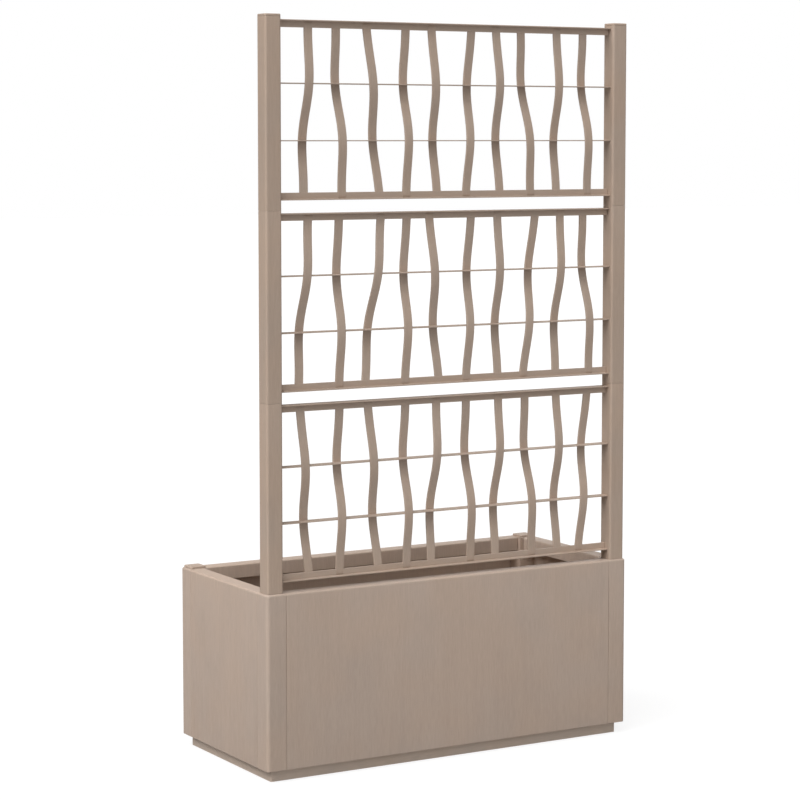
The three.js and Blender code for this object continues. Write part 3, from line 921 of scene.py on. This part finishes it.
class PLANTER_OT_walls(bpy.types.Operator):
    """Model the four walls with rim, skirt and foot"""

    bl_idname = "planter.walls"
    bl_label = "Walls"

    def execute(self, context):
        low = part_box("corner_post_front_left")[0]
        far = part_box("corner_post_back_right")[0]
        half_long = far.x - WALL_SEAM
        half_short = far.y - WALL_SEAM
        quarter = math.pi / 2
        wall("wall_front", "front_wall", (0.0, 2.1, 0.3), 0.0, low.y, half_long)
        wall("wall_right", "right_wall", (3.1, 0.0, 0.9), quarter, low.x, half_short)
        wall("wall_back", "back_wall", (5.3, 0.7, 0.1), 2 * quarter, low.y, half_long)
        # The left wall is painted darker at its foot than the others: painted shade
        wall("wall_left", "left_wall", (0.8, 4.4, 0.6), 3 * quarter, low.x, half_short,
             foot_shade=LEFT_WALL_FOOT_SHADE)
        return {"FINISHED"}


class PLANTER_OT_corner_caps(bpy.types.Operator):
    """Model the caps on the two back corner posts"""

    bl_idname = "planter.corner_caps"
    bl_label = "Corner Caps"

    def execute(self, context):
        for number, side in enumerate(SIDES):
            cap(f"cap_back_{side}", f"corner_cap_back_{side}", f"back_{side}_cap",
                colours().wall, (0.2, 0.5 + number, 0.1))
        return {"FINISHED"}


class PLANTER_OT_uprights(bpy.types.Operator):
    """Model the stacked sections of the two uprights"""

    bl_idname = "planter.uprights"
    bl_label = "Uprights"

    def execute(self, context):
        for column, side in enumerate(SIDES):
            for row, level in enumerate(LEVELS):
                upright_section(f"post_{side}_{level}", f"upright_{side}_{level}",
                                (1.7 * column, 0.9 * row, 0.4 * row))
        return {"FINISHED"}


class PLANTER_OT_upright_caps(bpy.types.Operator):
    """Model the caps on top of the uprights"""

    bl_idname = "planter.upright_caps"
    bl_label = "Upright Caps"

    def execute(self, context):
        for number, side in enumerate(SIDES):
            cap(f"cap_upright_{side}", f"upright_cap_{side}", f"{side}_upright_cap",
                colours().upright, (0.7, 0.3 + number, 0.6))
        return {"FINISHED"}


class PLANTER_OT_rails(bpy.types.Operator):
    """Model the rails and fins of the lattice panels"""

    bl_idname = "planter.rails"
    bl_label = "Rails and Fins"

    def execute(self, context):
        for level in LEVELS:
            rails(level, f"lattice_{level}")
            fins(level, f"lattice_{level}")
        return {"FINISHED"}


class PLANTER_OT_slats(bpy.types.Operator):
    """Model the swaying slats of the lattice panels"""

    bl_idname = "planter.slats"
    bl_label = "Slats"

    def execute(self, context):
        for level in LEVELS:
            slats(level, f"lattice_{level}")
        return {"FINISHED"}


class PLANTER_OT_stage(bpy.types.Operator):
    """Set the floor, the soft light and the camera"""

    bl_idname = "planter.stage"
    bl_label = "Stage"

    def execute(self, context):
        for set_part in (set_floor, set_room, set_lights, set_camera):
            set_part(context.scene, context.scene.stage_settings)
        context.scene.view_settings.view_transform = "Standard"
        context.scene.view_settings.look = "None"
        return {"FINISHED"}


# ---------------------------------------------------------------- sidebar and registration

STEPS = (
    PLANTER_OT_tray, PLANTER_OT_corner_posts, PLANTER_OT_walls, PLANTER_OT_corner_caps,
    PLANTER_OT_uprights, PLANTER_OT_upright_caps, PLANTER_OT_rails, PLANTER_OT_slats,
    PLANTER_OT_stage)
GROUPS = {
    "planter_sizes": PlanterSizes, "trellis_sizes": TrellisSizes,
    "finish_colours": FinishColours, "stage_settings": StageSettings}


class PLANTER_PT_panel(bpy.types.Panel):
    """Lists the steps that build the planter and its stage"""

    bl_idname = "PLANTER_PT_panel"
    bl_label = "Planter with Trellis"
    bl_space_type = "VIEW_3D"
    bl_region_type = "UI"
    bl_category = "Planter"

    def draw(self, context):
        for step in STEPS:
            self.layout.operator(step.bl_idname)
        for group in GROUPS:
            settings = getattr(context.scene, group)
            box = self.layout.box()
            for key in settings.__annotations__:
                box.prop(settings, key)


def register():
    for group, kind in GROUPS.items():
        bpy.utils.register_class(kind)
        setattr(bpy.types.Scene, group, bpy.props.PointerProperty(type=kind))
    for kind in (*STEPS, PLANTER_PT_panel):
        bpy.utils.register_class(kind)


def unregister():
    for kind in (PLANTER_PT_panel, *reversed(STEPS)):
        bpy.utils.unregister_class(kind)
    for group, kind in reversed(GROUPS.items()):
        delattr(bpy.types.Scene, group)
        bpy.utils.unregister_class(kind)


def main():
    register()
    for step in STEPS:
        space, call = step.bl_idname.split(".")
        getattr(getattr(bpy.ops, space), call)()


if __name__ == "__main__":
    main()
